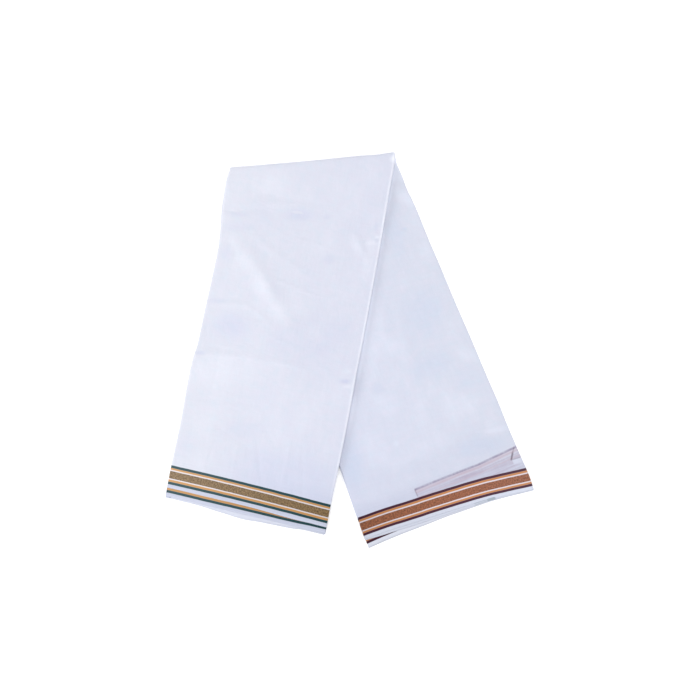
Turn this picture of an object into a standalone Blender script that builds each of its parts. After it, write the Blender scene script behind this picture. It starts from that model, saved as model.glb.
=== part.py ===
"""A white cotton dhoti, folded in eight to a long flat strip and then turned over once on itself.

The strip lies on a surface. Its back leaf runs down to the right and is flat on the surface. At the
top the strip turns over, and its front leaf runs down to the left, partly on the back leaf and partly
beside it. Each leaf is a top layer, a second layer that shows past its hem, and the layers inside.
Metres, +Z up. The origin is at the middle of the part, on the surface that it lies on.
"""

import math
from collections import namedtuple

import bmesh
import bpy
from mathutils import Vector

# ---------------------------------------------------------------- driving dimensions
LAYER = 0.0010  # wall of a layer that shows
SEAM = 0.0003  # air between neighbouring pieces
INNER = 0.0022  # the hidden layers together
LEAF = 2 * LAYER + 2 * SEAM + INNER  # one leaf, eight layers of cloth
RISE = LEAF + SEAM  # how far the front leaf lies up on the back leaf
PUFF = 0.0018  # how much the turn at the top springs open
PUFF_REACH = 0.060  # how far down the front leaf that is felt
TURN_RADIUS = (RISE + LEAF + PUFF) / 2  # outside of the turn
ROLL_RADIUS = LEAF / 2  # outside of the fold along the right edge
ROLL_END = math.radians(-68)  # where the rolled top layer stops, under the edge
DRAPE_START = 0.014  # the front leaf leaves the back leaf this far past its edge
DRAPE_RUN = 0.115  # and reaches the surface over this distance

# Corners in plan, (x, y). A turn corner is where the flat cloth meets the round of the turn.
FRONT_TURN_LEFT, FRONT_TURN_RIGHT = Vector((-0.1847, 0.2754)), Vector((0.0677, 0.2974))
BACK_TURN_LEFT, BACK_TURN_RIGHT = Vector((-0.1800, 0.2757)), Vector((0.0715, 0.2978))
FRONT_HEM_LEFT, FRONT_HEM_RIGHT = Vector((-0.2806, -0.2102)), Vector((-0.0348, -0.2717))
BACK_HEM_LEFT, BACK_HEM_RIGHT = Vector((0.0252, -0.2894)), Vector((0.2825, -0.2130))

# How far an edge lies to the right of its straight line: along is 0 at the turn and 1 at the hem.
Shift = namedtuple("Shift", "along right")
FRONT_LEFT_EDGE = (
    Shift(0.00, 0.0000),
    Shift(0.04, -0.0020),
    Shift(0.13, 0.0016),
    Shift(0.18, 0.0048),
    Shift(0.25, 0.0068),
    Shift(0.36, 0.0062),
    Shift(0.54, 0.0044),
    Shift(0.60, 0.0010),
    Shift(0.67, 0.0004),
    Shift(0.79, 0.0016),
    Shift(1.00, 0.0000),
)
FRONT_RIGHT_EDGE = (
    Shift(0.00, 0.0000),
    Shift(0.23, 0.0023),
    Shift(0.50, 0.0027),
    Shift(0.83, 0.0027),
    Shift(1.00, 0.0000),
)
BACK_LEFT_EDGE = (Shift(0.00, 0.0000), Shift(0.80, 0.0006), Shift(1.00, 0.0000))
BACK_RIGHT_EDGE = (
    Shift(0.00, 0.0000),
    Shift(0.10, -0.0022),
    Shift(0.15, -0.0002),
    Shift(0.28, -0.0013),
    Shift(0.44, -0.0012),
    Shift(0.56, 0.0000),
    Shift(0.86, 0.0021),
    Shift(0.96, 0.0026),
    Shift(1.00, 0.0008),
)

# How far a hem lies past a line: the top layer's past the straight line between its corners, and a
# lower layer's past the top layer's. across is 0 at the left edge.
Past = namedtuple("Past", "across out")
FRONT_HEM = (Past(0.00, 0.0), Past(0.25, -0.0012), Past(0.50, -0.0016), Past(0.75, -0.0012), Past(1.00, 0.0))
FRONT_SECOND_HEM = (
    Past(0.00, 0.0131),
    Past(0.25, 0.0140),
    Past(0.60, 0.0128),
    Past(0.85, 0.0114),
    Past(1.00, 0.0098),
)
FRONT_INNER_HEM = (
    Past(0.00, 0.0156),
    Past(0.10, 0.0158),
    Past(0.20, 0.0164),
    Past(0.30, 0.0182),
    Past(0.40, 0.0199),
    Past(0.49, 0.0210),
    Past(0.60, 0.0189),
    Past(0.70, 0.0175),
    Past(0.80, 0.0157),
    Past(0.87, 0.0131),
    Past(1.00, 0.0118),
)
BACK_HEM = (
    Past(0.00, 0.0),
    Past(0.15, -0.0023),
    Past(0.30, -0.0029),
    Past(0.45, -0.0041),
    Past(0.60, -0.0045),
    Past(0.72, -0.0045),
    Past(0.85, -0.0028),
    Past(0.93, -0.0013),
    Past(1.00, 0.0),
)
BACK_SECOND_HEM = (
    Past(0.00, 0.0022),
    Past(0.05, 0.0030),
    Past(0.12, 0.0038),
    Past(0.30, 0.0042),
    Past(0.50, 0.0040),
    Past(0.62, 0.0032),
    Past(0.80, 0.0018),
    Past(1.00, 0.0010),
)
BACK_INNER_HEM = (
    Past(0.00, 0.0150),
    Past(0.08, 0.0135),
    Past(0.14, 0.0126),
    Past(0.26, 0.0102),
    Past(0.38, 0.0086),
    Past(0.50, 0.0067),
    Past(0.65, 0.0052),
    Past(0.80, 0.0031),
    Past(1.00, 0.0018),
)
NO_HEM = (Past(0.00, 0.0), Past(1.00, 0.0))

# How far the turn lies past the straight line between its ends.
FRONT_TURN = (
    Past(0.00, 0.0),
    Past(0.60, 0.0),
    Past(0.80, 0.0005),
    Past(0.90, 0.0009),
    Past(0.97, 0.0016),
    Past(1.00, 0.0024),
)
BACK_TURN = (Past(0.00, 0.0), Past(1.00, 0.0))

# Soft ridges pressed into the top layers, from one end (x, y) to the other.
Ridge = namedtuple("Ridge", "x0 y0 x1 y1 spread height")
FRONT_RIDGES = (
    Ridge(-0.1720, 0.1730, -0.1230, 0.0970, 0.013, 0.0014),
    Ridge(-0.1390, 0.1190, -0.0890, 0.0390, 0.012, 0.0012),
    Ridge(-0.1556, 0.1817, -0.0566, 0.1127, 0.010, 0.0007),
    Ridge(-0.1956, 0.2287, -0.0356, 0.2247, 0.014, 0.0007),
    Ridge(0.0104, 0.1757, 0.0324, 0.1417, 0.010, 0.0009),
    Ridge(-0.2186, 0.0727, -0.1636, 0.0727, 0.010, 0.0006),
    Ridge(-0.1636, 0.0727, -0.1246, 0.0467, 0.010, 0.0006),
    Ridge(-0.2356, -0.0043, -0.1496, -0.0103, 0.012, 0.0010),
    Ridge(-0.1556, -0.0103, -0.0696, -0.0253, 0.012, 0.0008),
)
BACK_RIDGES = (
    Ridge(0.2104, -0.1323, 0.2524, -0.1163, 0.010, 0.0010),
    Ridge(0.1194, -0.0273, 0.1594, -0.0183, 0.010, 0.0006),
    Ridge(0.1054, 0.1357, 0.1274, 0.1437, 0.009, 0.0006),
    Ridge(0.0724, 0.0897, 0.1274, -0.1563, 0.014, 0.0005),
)

# ---------------------------------------------------------------- how finely the solids are cut
COLUMNS = 18  # across a leaf
FRONT_ROWS, BACK_ROWS = 26, 24  # along a leaf's top layer
HIDDEN_COLUMNS, HIDDEN_ROWS = 11, 15  # in the flat layers under the back leaf's top layer
TURN_STEPS = 5  # round the turn
ROLL_STEPS = 4  # round the fold along the right edge

# Edge shapes, from the upper surface to the lower one: depth is a share of the wall, out is metres.
Level = namedtuple("Level", "depth out")
ROUNDED_EDGE = (Level(0.5, 0.0004),)
LAYERED_EDGE = (
    Level(0.17, 0.0007),
    Level(0.34, -0.0004),
    Level(0.50, 0.0003),
    Level(0.67, -0.0006),
    Level(0.84, 0.0009),
)
LAYERED_INSET = 0.0012  # the hidden layers' edge lies this far inside the top layer's

Finish = namedtuple("Finish", "name colour roughness")
COTTON = Finish("white_cotton", (0.78, 0.80, 0.90, 1.0), 0.85)
COTTON_INSIDE = Finish("white_cotton_inside", (0.74, 0.76, 0.86, 1.0), 0.88)


# ---------------------------------------------------------------- curves
def smooth_step(x):
    """0 below 0, 1 above 1, and an S between."""
    x = min(1.0, max(0.0, x))
    return x * x * (3 - 2 * x)


def read(table, x):
    """A smooth curve through the rows of a two-column table."""
    if x <= table[0][0]:
        return table[0][1]
    if x >= table[-1][0]:
        return table[-1][1]
    after = next(i for i, row in enumerate(table) if row[0] > x)
    (xa, ya), (xb, yb) = table[after - 1], table[after]

    def slope(i):
        lower, upper = max(i - 1, 0), min(i + 1, len(table) - 1)
        return (table[upper][1] - table[lower][1]) / (table[upper][0] - table[lower][0])

    span = xb - xa
    t = (x - xa) / span
    rising = (1 + 2 * t) * (1 - t) ** 2 * ya + t * t * (3 - 2 * t) * yb
    return rising + span * (t * (1 - t) ** 2 * slope(after - 1) + t * t * (t - 1) * slope(after))


def ridge_height(ridges, point):
    """How far the ridges raise the cloth at a point in plan."""
    raised = 0.0
    for ridge in ridges:
        start, end = Vector((ridge.x0, ridge.y0)), Vector((ridge.x1, ridge.y1))
        run = end - start
        share = min(1.0, max(0.0, (point - start).dot(run) / run.length_squared))
        off = (point - start - share * run).length
        raised += ridge.height * math.exp(-((off / ridge.spread) ** 2))
    return raised


# ---------------------------------------------------------------- the two leaves in plan
class Leaf:
    """One leaf of the folded strip: where its cloth lies in plan, and how high its underside is."""

    def __init__(self, turn, turn_line, hem, edges, hem_line, ridges):
        self.turn_left, self.turn_right = turn
        self.turn_line = turn_line
        self.hem_left, self.hem_right = hem
        self.left_edge, self.right_edge = edges
        self.hem_line = hem_line
        self.ridges = ridges
        axis = (self.hem_left + self.hem_right - self.turn_left - self.turn_right).normalized()
        self.axis = axis
        self.side = Vector((-axis.y, axis.x))
        if self.side.dot(self.turn_right - self.turn_left) < 0:
            self.side.negate()

    def turn_point(self, across):
        """The point of the turn line, 0 at the left edge to 1 at the right edge."""
        return self.turn_left.lerp(self.turn_right, across) - self.axis * read(self.turn_line, across)

    def length(self, across):
        """From the turn to the top layer's hem."""
        return (self.hem_left.lerp(self.hem_right, across) - self.turn_point(across)).length

    def plan(self, across, along):
        """The point in plan: along is 0 at the turn and 1 at the top layer's hem."""
        hem = self.hem_left.lerp(self.hem_right, across)
        hem += self.axis * read(self.hem_line, across)
        left, right = read(self.left_edge, along), read(self.right_edge, along)
        shift = left * (1 - across) + right * across
        return self.turn_point(across).lerp(hem, along) + self.side * shift

    def underside(self, point, from_turn):
        """How high the leaf's underside is over the surface that the part lies on."""
        return 0.0


class FrontLeaf(Leaf):
    """The leaf on top: it lies on the back leaf and drapes down beside it."""

    def underside(self, point, from_turn):
        """High over the back leaf, and on the surface well beside it."""
        start, edge = BACK_TURN_LEFT, (BACK_HEM_LEFT - BACK_TURN_LEFT).normalized()
        beside = (point - start).dot(Vector((edge.y, -edge.x)))
        lifted = RISE * (1 - smooth_step((beside - DRAPE_START) / DRAPE_RUN))
        return lifted + PUFF * math.exp(-((from_turn / PUFF_REACH) ** 2))


FRONT = FrontLeaf(
    (FRONT_TURN_LEFT, FRONT_TURN_RIGHT),
    FRONT_TURN,
    (FRONT_HEM_LEFT, FRONT_HEM_RIGHT),
    (FRONT_LEFT_EDGE, FRONT_RIGHT_EDGE),
    FRONT_HEM,
    FRONT_RIDGES,
)
BACK = Leaf(
    (BACK_TURN_LEFT, BACK_TURN_RIGHT),
    BACK_TURN,
    (BACK_HEM_LEFT, BACK_HEM_RIGHT),
    (BACK_LEFT_EDGE, BACK_RIGHT_EDGE),
    BACK_HEM,
    BACK_RIDGES,
)
TURN_OUTWARD = Vector((FRONT_TURN_LEFT.y - FRONT_TURN_RIGHT.y, FRONT_TURN_RIGHT.x - FRONT_TURN_LEFT.x))
TURN_OUTWARD.normalize()


# ---------------------------------------------------------------- stations across the strip
Station = namedtuple("Station", "points side up")


def flat_stations(leaf, columns, rows, hem, insets):
    """The rows of a leaf from its hem to its turn.

    Each point is the leaf's underside, and up is its normal. A hem that lies past the top layer's has
    a row of its own.
    """
    left_inset, right_inset = insets
    shares = [1 - row / rows for row in range(rows + 1)]
    if min(past.out for past in hem) > 0:
        shares.insert(0, 1.0)
    stations = []
    for row, share in enumerate(shares):
        points = []
        for column in range(columns + 1):
            across = column / columns
            along = share if row else 1 + read(hem, across) / leaf.length(across)
            point = leaf.plan(across, along)
            height = leaf.underside(point, max(0.0, along) * leaf.length(across))
            if column == 0:
                point = point + leaf.side * left_inset
            if column == columns:
                point = point - leaf.side * right_inset
            points.append(Vector((point.x, point.y, height)))
        stations.append(Station(points, leaf.side.to_3d(), Vector((0, 0, 1))))
    return stations


def turn_stations(columns, insets):
    """The rows round the turn, after the front leaf's last flat row, on the inside of the turn."""
    left_inset, right_inset = insets
    stations = []
    for step in range(1, TURN_STEPS + 1):
        share = step / TURN_STEPS
        angle = math.pi * (0.5 - share)
        up = (TURN_OUTWARD * math.cos(angle)).to_3d() + Vector((0, 0, math.sin(angle)))
        side = FRONT.side.lerp(BACK.side, share).normalized().to_3d()
        points = []
        for column in range(columns + 1):
            middle = FRONT.turn_point(column / columns).lerp(BACK.turn_point(column / columns), share)
            point = Vector((middle.x, middle.y, TURN_RADIUS)) + up * (TURN_RADIUS - LEAF)
            if column == 0:
                point = point + side * left_inset
            if column == columns:
                point = point - side * right_inset
            points.append(point)
        stations.append(Station(points, side, up))
    return stations


# ---------------------------------------------------------------- solids
def closed_solid(name, outer, inner, levels, finish):
    """One closed solid between two grids of points, with an edge of the given shape all round."""
    rows, columns = len(outer), len(outer[0])
    mesh = bmesh.new()
    top = [[mesh.verts.new(point) for point in row] for row in outer]
    bottom = [[mesh.verts.new(point) for point in row] for row in inner]
    for row in range(rows - 1):
        for column in range(columns - 1):
            a, b = (row, column), (row, column + 1)
            c, d = (row + 1, column + 1), (row + 1, column)
            mesh.faces.new([top[i][j] for i, j in (a, b, c, d)])
            mesh.faces.new([bottom[i][j] for i, j in (d, c, b, a)])
    loop = [(0, j) for j in range(columns)]
    loop += [(i, columns - 1) for i in range(1, rows)]
    loop += [(rows - 1, j) for j in range(columns - 2, -1, -1)]
    loop += [(i, 0) for i in range(rows - 2, 0, -1)]
    rings = [[top[i][j] for i, j in loop]]
    for level in levels:
        ring = []
        for place, (i, j) in enumerate(loop):
            before, after = loop[place - 1], loop[(place + 1) % len(loop)]
            along_loop = outer[after[0]][after[1]] - outer[before[0]][before[1]]
            through = outer[i][j] - inner[i][j]
            outward = along_loop.cross(through).normalized()
            point = outer[i][j].lerp(inner[i][j], level.depth) + outward * level.out
            ring.append(mesh.verts.new(point))
        rings.append(ring)
    rings.append([bottom[i][j] for i, j in loop])
    for upper, lower in zip(rings, rings[1:]):
        for place in range(len(loop)):
            following = (place + 1) % len(loop)
            mesh.faces.new((upper[following], upper[place], lower[place], lower[following]))
    bmesh.ops.triangulate(mesh, faces=mesh.faces[:])
    bmesh.ops.recalc_face_normals(mesh, faces=mesh.faces[:])
    data = bpy.data.meshes.new(name)
    mesh.to_mesh(data)
    mesh.free()
    data.shade_smooth()
    data.set_sharp_from_angle(angle=math.radians(50))
    solid = bpy.data.objects.new(name, data)
    solid.data.materials.append(material(finish))
    bpy.context.scene.collection.objects.link(solid)
    return solid


def material(finish):
    """The finish's material, made once."""
    found = bpy.data.materials.get(finish.name)
    if found:
        return found
    made = bpy.data.materials.new(finish.name)
    made.use_nodes = True
    shader = made.node_tree.nodes["Principled BSDF"]
    shader.inputs["Base Color"].default_value = finish.colour
    shader.inputs["Roughness"].default_value = finish.roughness
    shader.inputs["Metallic"].default_value = 0.0
    return made


def layer_between(name, stations, low, high, levels, finish):
    """A layer that fills the leaf from low to high over its underside."""
    outer = [[point + station.up * high for point in station.points] for station in stations]
    inner = [[point + station.up * low for point in station.points] for station in stations]
    return closed_solid(name, outer, inner, levels, finish)


def top_layer(name, leaf, stations, finish):
    """The layer that shows: its ridges are raised over a plain inside, and its right edge rolls under."""
    outer, inner = [], []
    for station in stations:
        outer_row, inner_row = [], []
        for point in station.points:
            raised = ridge_height(leaf.ridges, point.xy) * max(0.0, station.up.z)
            outer_row.append(point + station.up * (LEAF + raised))
            inner_row.append(point + station.up * (LEAF - LAYER))
        middle = station.points[-1] + station.up * (LEAF - ROLL_RADIUS)
        for step in range(1, ROLL_STEPS + 1):
            angle = math.pi / 2 + (ROLL_END - math.pi / 2) * step / ROLL_STEPS
            spoke = station.side * math.cos(angle) + station.up * math.sin(angle)
            outer_row.append(middle + spoke * ROLL_RADIUS)
            inner_row.append(middle + spoke * (ROLL_RADIUS - LAYER))
        outer.append(outer_row)
        inner.append(inner_row)
    return closed_solid(name, outer, inner, ROUNDED_EDGE, finish)


def build_front_leaf():
    """The front leaf with the turn: top layer, second layer and the layers inside."""
    roll = (0.0, ROLL_RADIUS)
    stations = flat_stations(FRONT, COLUMNS, FRONT_ROWS, NO_HEM, roll)
    stations += turn_stations(COLUMNS, roll)
    top_layer("front_top_layer", FRONT, stations, COTTON)

    second_insets = (0.0018, ROLL_RADIUS)
    stations = flat_stations(FRONT, COLUMNS, FRONT_ROWS, FRONT_SECOND_HEM, second_insets)
    stations += turn_stations(COLUMNS, second_insets)
    second_low = INNER + SEAM
    layer_between("front_second_layer", stations, second_low, second_low + LAYER, ROUNDED_EDGE, COTTON)

    inner_insets = (LAYERED_INSET, ROLL_RADIUS + LAYER)
    stations = flat_stations(FRONT, COLUMNS, FRONT_ROWS, FRONT_INNER_HEM, inner_insets)
    stations += turn_stations(COLUMNS, inner_insets)
    layer_between("front_inner_layers", stations, 0.0, INNER, LAYERED_EDGE, COTTON_INSIDE)


def build_back_leaf():
    """The back leaf, flat on the surface: it starts a seam's width below the turn."""
    edges = max(level.out for level in LAYERED_EDGE) + max(level.out for level in ROUNDED_EDGE)
    below_turn = -(SEAM + edges)
    roll = (0.0, ROLL_RADIUS)
    stations = flat_stations(BACK, COLUMNS, BACK_ROWS, NO_HEM, roll)
    pull_back(stations, below_turn)
    top_layer("back_top_layer", BACK, stations, COTTON)

    second_insets = (-0.0012, ROLL_RADIUS)
    stations = flat_stations(BACK, HIDDEN_COLUMNS, HIDDEN_ROWS, BACK_SECOND_HEM, second_insets)
    pull_back(stations, below_turn)
    second_low = INNER + SEAM
    layer_between("back_second_layer", stations, second_low, second_low + LAYER, ROUNDED_EDGE, COTTON)

    inner_insets = (LAYERED_INSET, ROLL_RADIUS + LAYER)
    stations = flat_stations(BACK, HIDDEN_COLUMNS, HIDDEN_ROWS, BACK_INNER_HEM, inner_insets)
    pull_back(stations, below_turn)
    layer_between("back_inner_layers", stations, 0.0, INNER, LAYERED_EDGE, COTTON_INSIDE)


def pull_back(stations, distance):
    """Moves the row at the turn along the leaf, so that it stands clear of the turn."""
    for point in stations[-1].points:
        point.xy += TURN_OUTWARD * distance


def main():
    """Clears the scene and builds both leaves."""
    for old in list(bpy.data.objects):
        bpy.data.objects.remove(old)
    build_back_leaf()
    build_front_leaf()


main()
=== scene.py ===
"""Dresses the folded dhoti: thin cotton sheets with woven borders, folded in eight and turned over once.

The cloth is one length of cotton. It is halved three times to a strip of eight layers, and the strip is
turned over at the top, so that its two selvedges hang side by side: the front leaf ends in the green
border and the back leaf in the maroon one. Every sheet here is the middle surface of its cloth, laid in
rows from a selvedge to the turn and in columns across the strip, and thickened to a thin closed shell.
Sizes are in metres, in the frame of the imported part, unless a comment or a docstring says millimetres.
"""

import logging
import math
from dataclasses import dataclass, field, replace
from enum import Enum
from typing import Any, NamedTuple, Sequence

import bpy
import numpy as np
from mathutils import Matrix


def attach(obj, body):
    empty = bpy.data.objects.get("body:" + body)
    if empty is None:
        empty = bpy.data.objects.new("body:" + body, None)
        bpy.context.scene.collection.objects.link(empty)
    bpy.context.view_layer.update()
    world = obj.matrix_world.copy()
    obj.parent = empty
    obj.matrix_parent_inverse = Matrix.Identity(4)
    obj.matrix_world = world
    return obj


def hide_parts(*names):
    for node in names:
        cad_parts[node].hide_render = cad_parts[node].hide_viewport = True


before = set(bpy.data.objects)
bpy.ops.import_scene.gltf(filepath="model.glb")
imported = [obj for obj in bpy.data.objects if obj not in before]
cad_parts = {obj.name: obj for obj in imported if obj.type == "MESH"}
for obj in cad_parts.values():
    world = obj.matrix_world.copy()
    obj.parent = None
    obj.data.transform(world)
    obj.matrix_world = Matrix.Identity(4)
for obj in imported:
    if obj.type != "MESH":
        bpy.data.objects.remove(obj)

LOG = logging.getLogger("dhoti")
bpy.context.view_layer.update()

MM = 0.001
CLOTH_LENGTH = 2.00
STRIP_WIDTH = CLOTH_LENGTH / 8  # halved three times
LAYERS = 8
LEAF = 4.8 * MM  # one leaf, eight layers
RISE = 5.1 * MM  # the front leaf's underside, where it lies on the back leaf
DRAPE_START = 14 * MM  # how far beside the back leaf it begins to sink
DRAPE_RUN = 115 * MM  # and how much farther it reaches the surface
PUFF = 1.8 * MM  # how much the turn springs open
PUFF_REACH = 60 * MM
TURN_RADIUS = (RISE + LEAF + PUFF) / 2
BACK_START = 1.6 * MM  # the back leaf's sheets start this far below the turn line
TUCK = 1.5 * MM  # and the front leaf's sheets end just before them
CLOTH_THICKNESS = 0.30 * MM
LAYER_INSET = 0.2 * MM  # from a leaf's two sides to the middle of the nearest layer
PITCH = (LEAF - 2 * LAYER_INSET) / (LAYERS - 1)  # from one layer to the next
FOLD_INSET = LEAF / 2  # from the leaf's right edge to the middle of the folds there
FOLD_GAP = 0.2 * MM  # how far a fold on the left stands in from its edge, besides its radius
FOLD_SQUARE = 3.4  # how square the pressed folds are: 2 would be round
TURN_SQUARE = (3.2, 2.3)  # the same for the turn, at its left and right ends
RIM_WIDTH = 1.3 * MM  # a painted highlight along a pressed fold, this far in from it
RIM_RIGHT = 0.55
RIM_LEFT = 0.25
TURN_RIM = 1.6  # painted light round the turn as well, and half as much at its right end
RAGGED = 0.15  # how uneven a rim is
RAGGED_SIZE = (12 * MM, 1.0)
LIFTED_FROM = 0.80  # how far across a leaf its right edge begins to lift
LOOSE_SHARE = 1 / 12  # the share of the strip that a loose left end takes with it
LOOSE_SIZE = (45 * MM, 1.0)
BREATH = 0.09 * MM  # how far each layer rises and falls between its neighbours
BREATH_SIZE = (35 * MM, 0.925)  # along the leaf, and in layers
CLOTH_MAP = "cloth"  # metres across the cloth, and metres from the selvedge
# each point's tone: where a sheet clings, painted shade and painted light
TONE = "tone"

Pair = tuple[float, float]
Colour = tuple[float, float, float]
Numbers = float | np.ndarray
Dense = tuple[float, float, float]  # a centre, a half width, and how many times as dense it is there


# ---------------------------------------------------------------- curves and unevenness
def smooth(x: np.ndarray) -> np.ndarray:
    """Returns 0 below 0, 1 above 1 and an S between."""
    x = np.clip(x, 0.0, 1.0)
    return x * x * (3 - 2 * x)


def wide_steps(values: np.ndarray) -> np.ndarray:
    """Returns each value's next neighbour minus its last one, or itself at the two ends."""
    return np.append(values[1:], values[-1]) - np.append(values[0], values[:-1])


@dataclass(frozen=True)
class Curve:
    """A smooth curve of lengths in millimetres, over shares of the way along an edge.

    It is level before its first pair and after its last.
    """

    pairs: tuple[Pair, ...] = ((0, 0), (1, 0))

    def at(self, x: Numbers) -> np.ndarray:
        """Reads the curve.

        Args:
            x: Where to read it.

        Returns:
            The lengths there, in metres.
        """
        xs, ys = np.array(self.pairs).T * ((1.0,), (MM,))
        slopes = wide_steps(ys) / wide_steps(xs)
        x = np.clip(np.asarray(x, dtype=float), xs[0], xs[-1])
        after = np.clip(np.searchsorted(xs, x, side="right"), 1, len(xs) - 1)
        span = xs[after] - xs[after - 1]
        t = (x - xs[after - 1]) / span
        rising = (1 + 2 * t) * (1 - t) ** 2 * ys[after - 1] + t * t * (3 - 2 * t) * ys[after]
        turning = t * (1 - t) ** 2 * slopes[after - 1] + t * t * (t - 1) * slopes[after]
        return rising + span * turning

    def plus(self, extra: float) -> "Curve":
        """Returns the same curve, raised by some millimetres."""
        return Curve(tuple((x, y + extra) for x, y in self.pairs))


def uneven(x: np.ndarray, y: np.ndarray, size: Pair, seed: int) -> np.ndarray:
    """A smooth random field, the same on every run.

    Args:
        x: First coordinate.
        y: Second coordinate.
        size: How far apart its bumps lie along each coordinate.
        seed: Which field.

    Returns:
        Values from -1 to 1.
    """
    side = 64
    table = np.random.default_rng(seed).uniform(-1, 1, (side, side))
    gx, gy = np.asarray(x) / size[0], np.asarray(y) / size[1]
    ix, iy = np.floor(gx).astype(int), np.floor(gy).astype(int)
    tx, ty = (t**3 * (t * (6 * t - 15) + 10) for t in (gx - ix, gy - iy))
    x0, x1, y0, y1 = ix % side, (ix + 1) % side, iy % side, (iy + 1) % side
    low = table[x0, y0] * (1 - tx) + table[x1, y0] * tx
    high = table[x0, y1] * (1 - tx) + table[x1, y1] * tx
    return low * (1 - ty) + high * ty


def spaced(count: int, *dense: Dense) -> np.ndarray:
    """Values from 0 to 1, closer together where a sheet has fine creases.

    Args:
        count: How many steps.
        dense: The places where they are closer together.

    Returns:
        count + 1 rising values.
    """
    fine = np.linspace(0, 1, 4001)
    density = np.ones_like(fine)
    for centre, half, times in dense:
        density += (times - 1) * np.exp(-(((fine - centre) / half) ** 2))
    total = np.concatenate(([0], np.cumsum((density[1:] + density[:-1]) / 2)))
    return np.interp(np.linspace(0, total[-1], count + 1), total, fine)


# ---------------------------------------------------------------- creases
class Crease(NamedTuple):
    """A soft ridge or trough pressed into a sheet, between two points of the plan, all in millimetres.

    A negative height is a trough. lean makes one flank steeper than the other, and bend bows the line.
    """

    x0: float
    y0: float
    x1: float
    y1: float
    spread: float
    height: float
    lean: float = 0.0
    bend: float = 0.0

    def raised(self, x: np.ndarray, y: np.ndarray) -> np.ndarray:
        """How far the crease raises the cloth.

        Args:
            x: Places in plan, in millimetres.
            y: Places in plan, in millimetres.

        Returns:
            Heights in millimetres.
        """
        dx, dy = self.x1 - self.x0, self.y1 - self.y0
        run = math.hypot(dx, dy)
        share = ((x - self.x0) * dx + (y - self.y0) * dy) / run**2
        off = ((x - self.x0) * dy - (y - self.y0) * dx) / run
        inside = np.clip(share, 0, 1)
        off = off - self.bend * np.sin(math.pi * inside)
        past = (share - inside) * run
        width = self.spread * (1 + self.lean * np.tanh(off / self.spread))
        shape = np.exp(-((off / width) ** 2) - (past / self.spread) ** 2)
        fading = np.sqrt(np.clip(np.sin(math.pi * (0.08 + 0.84 * inside)), 0, 1))
        return self.height * shape * fading


class Patch(NamedTuple):
    """A soft-edged patch of tone on a sheet. Some are places where it clings to the layers under it; most are
    painted shade in creases and beside folds, and painted light on ridges and over shadows.

    Lengths are in millimetres and the angle is in degrees. tone is below 0 where the sheet looks darker and
    bluer, and above 0 where it looks whiter.
    """

    x: float
    y: float
    along: float
    across: float
    angle: float
    tone: float

    def at(self, x: np.ndarray, y: np.ndarray) -> np.ndarray:
        """The patch's tone.

        Args:
            x: Places in plan, in millimetres.
            y: Places in plan, in millimetres.

        Returns:
            The tone there, 0 away from the patch.
        """
        c, s = math.cos(math.radians(self.angle)), math.sin(math.radians(self.angle))
        u = ((x - self.x) * c + (y - self.y) * s) / self.along
        v = ((y - self.y) * c - (x - self.x) * s) / self.across
        return self.tone * np.exp(-((u * u + v * v) ** 1.5))


def rows_of(kind: type, *rows: tuple[float, ...]) -> tuple[Any, ...]:
    """Makes creases or patches, one from each row of numbers."""
    return tuple(kind(*row) for row in rows)


# ---------------------------------------------------------------- the two leaves
class Side(Enum):
    """Which leaf of the turned-over strip."""

    FRONT = "front"
    BACK = "back"


def between(line: tuple[Pair, Pair], share: Numbers) -> np.ndarray:
    """Returns the points that lie a share of the way along a line, on the last axis."""
    a = np.asarray(share)[..., None]
    return np.array(line[0]) * (1 - a) + np.array(line[1]) * a


@dataclass(frozen=True)
class Leaf:
    """One leaf in plan: its corners, the wander of its long edges, and how far its hem bends outwards."""

    side: Side
    turn: tuple[Pair, Pair]
    hem: tuple[Pair, Pair]
    left_edge: Curve
    right_edge: Curve
    hem_line: Curve
    right_lift: Curve = Curve()
    turn_line: Curve = Curve()

    @property
    def axis(self) -> np.ndarray:
        """The unit vector in plan from the turn to the hem."""
        run = np.sum(self.hem, axis=0) - np.sum(self.turn, axis=0)
        return run / np.linalg.norm(run)

    @property
    def rightward(self) -> np.ndarray:
        """The unit vector in plan across the strip, to the right."""
        return np.array((-self.axis[1], self.axis[0]))

    def turn_point(self, across: Numbers) -> np.ndarray:
        """Returns points of the turn line, 0 at the left edge to 1 at the right edge."""
        return between(self.turn, across) - self.axis * self.turn_line.at(across)[..., None]

    def length(self, across: Numbers) -> np.ndarray:
        """Returns the lengths from the turn to the top sheet's hem."""
        return np.linalg.norm(between(self.hem, across) - self.turn_point(across), axis=-1)

    def plan(self, across: np.ndarray, along: np.ndarray) -> np.ndarray:
        """Places in plan.

        Args:
            across: 0 at the left edge to 1 at the right edge.
            along: 0 at the turn to 1 at the top sheet's hem.

        Returns:
            Points (x, y) on the last axis.
        """
        a, t = across[..., None], along[..., None]
        end = between(self.hem, across) + self.axis * self.hem_line.at(a)
        straight = self.turn_point(across) * (1 - t) + end * t
        shift = self.left_edge.at(t) * (1 - a) + self.right_edge.at(t) * a
        return straight + self.rightward * shift

    def underside(self, points: np.ndarray, across: np.ndarray, along: np.ndarray) -> np.ndarray:
        """How high the leaf's underside lies.

        Args:
            points: Places in plan.
            across: The same places across the strip.
            along: The same places along the leaf.

        Returns:
            Heights over the surface that the cloth lies on.
        """
        edge_lift = self.right_lift.at(along) * smooth((across - LIFTED_FROM) / (1 - LIFTED_FROM))
        if self.side is Side.BACK:
            return edge_lift
        start, end = np.array(BACK_LEAF.turn[0]), np.array(BACK_LEAF.hem[0])
        run = (end - start) / np.linalg.norm(end - start)
        beside = (points[..., 0] - start[0]) * run[1] - (points[..., 1] - start[1]) * run[0]
        lifted = RISE * (1 - smooth((beside - DRAPE_START) / DRAPE_RUN))
        from_turn = np.clip(along, 0, None) * self.length(across)
        return lifted + PUFF * np.exp(-((from_turn / PUFF_REACH) ** 2)) + edge_lift


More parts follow.
